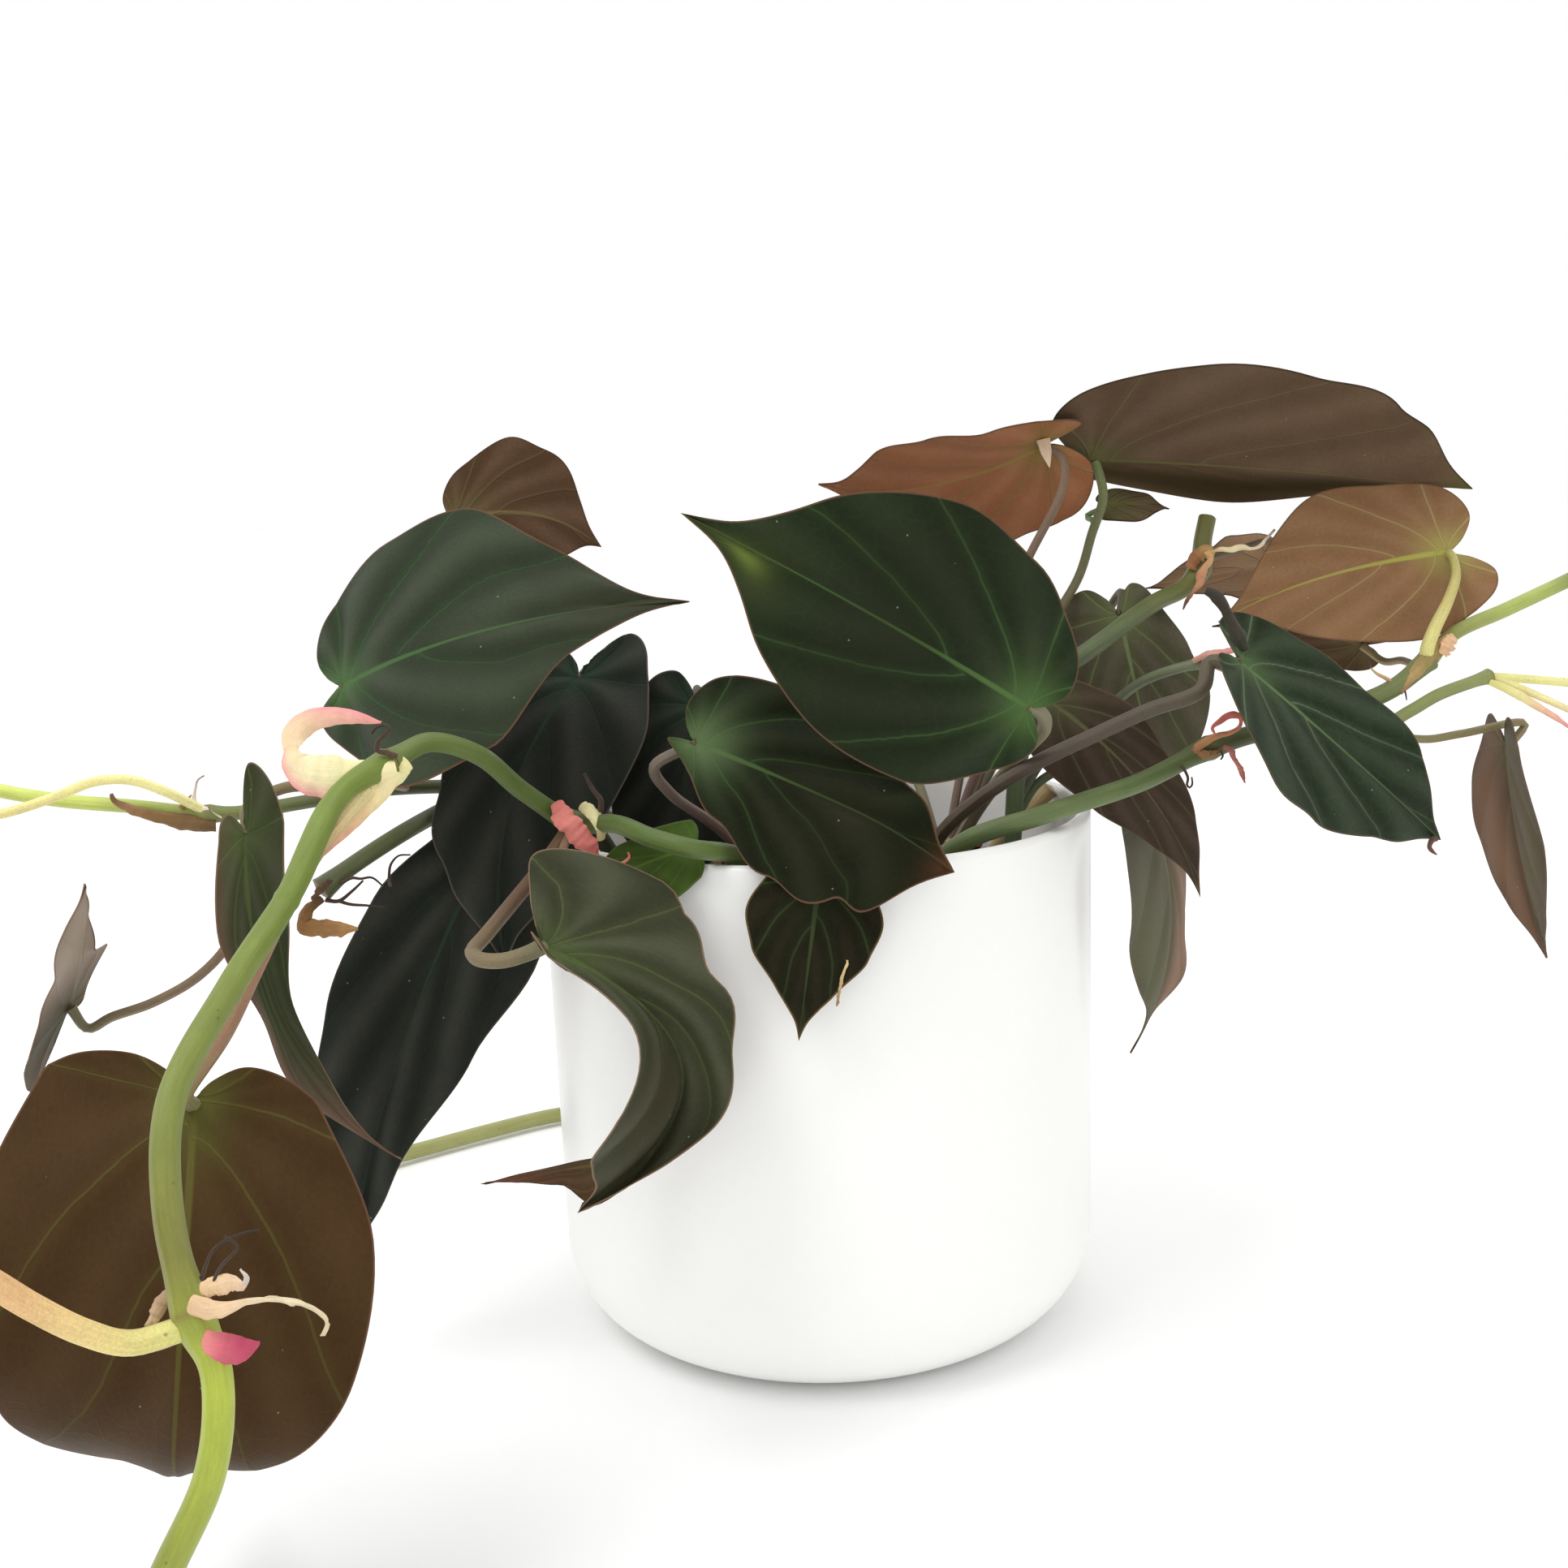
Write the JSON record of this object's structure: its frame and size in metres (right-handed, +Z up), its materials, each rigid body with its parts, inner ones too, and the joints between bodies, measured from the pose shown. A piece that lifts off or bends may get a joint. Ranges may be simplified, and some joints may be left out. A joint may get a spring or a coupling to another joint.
{
  "type": "potted velvet leaf philodendron",
  "caption": "Trailing aroid house plant with dark velvety heart-shaped leaves on arching vines, rooted in potting mix in a plain white round pot.",
  "frame": {"origin": "centre of the pot's flat foot, on the surface that it stands on", "axes": "+Z up, -Y to the front of the plant as pictured, +X to its right"},
  "size_m": [0.46, 0.3913, 0.217],
  "materials": {
    "pot_glaze": "smooth satin white glaze",
    "potting_mix": "loose dark bark and peat mix",
    "green_stem": "smooth green living stem",
    "pale_stem": "smooth yellow green living stem",
    "stalk": "smooth brown and green leaf stalks",
    "leaf": "velvety, almost black green upper side with pale green veins",
    "leaf_back": "reddish brown underside with pale veins, seen toward the viewer",
    "fresh_leaf": "bright green young leaf",
    "bract": "thin cream and pink bract",
    "dry_bract": "dry papery brown bract",
    "cut_wood": "dry tan stub of an old stem"
  },
  "bodies": {
    "root": {"pot": "pot_glaze", "soil": "potting_mix", "vine_front": "green_stem", "vine_left": "pale_stem", "vine_low_left": "green_stem", "vine_upper_right": "green_stem", "vine_right": "green_stem", "vine_back": "green_stem", "crown_left": "stalk", "crown_centre": "stalk", "crown_right": "stalk", "cut_stem": "cut_wood", "leaf_centre": "leaf", "leaf_upper_left": "leaf", "leaf_back_left": "leaf_back", "leaf_hang_left": "leaf", "leaf_dark_inner": "leaf", "leaf_over_rim": "leaf", "leaf_bent_front": "leaf", "leaf_pleated": "leaf", "leaf_front_low": "leaf_back", "leaf_folded_left": "leaf", "leaf_far_left": "leaf", "leaf_below_rim": "leaf", "leaf_top_right": "leaf_back", "leaf_top_middle": "leaf_back", "leaf_right_under": "leaf_back", "leaf_right_green": "leaf", "leaf_far_right": "leaf", "leaf_back_right": "leaf", "leaf_grey_heart": "leaf", "leaf_purple": "leaf", "leaf_hang_right": "leaf", "leaf_bright": "fresh_leaf", "leaf_red_tip": "leaf", "leaf_behind_right": "leaf", "leaf_small_top": "leaf", "leaf_left_edge": "leaf", "leaf_left_tip": "leaf", "leaf_near_left": "leaf", "leaf_right_edge": "leaf", "leaf_back_low": "leaf", "leaf_back_middle": "leaf", "leaf_back_crown": "leaf", "leaf_floor_end": "leaf", "leaf_floor_back": "leaf", "bract_front_top": "bract", "bract_front_rim": "bract", "bract_front_low": "dry_bract", "bract_front_red": "bract", "sheath_left": "dry_bract", "bract_low_left": "dry_bract", "sheath_right": "dry_bract", "bract_right_red": "bract", "bract_upper_right": "dry_bract", "bract_side_shoot": "bract", "bract_right_tip": "bract"}
  },
  "joints": []
}
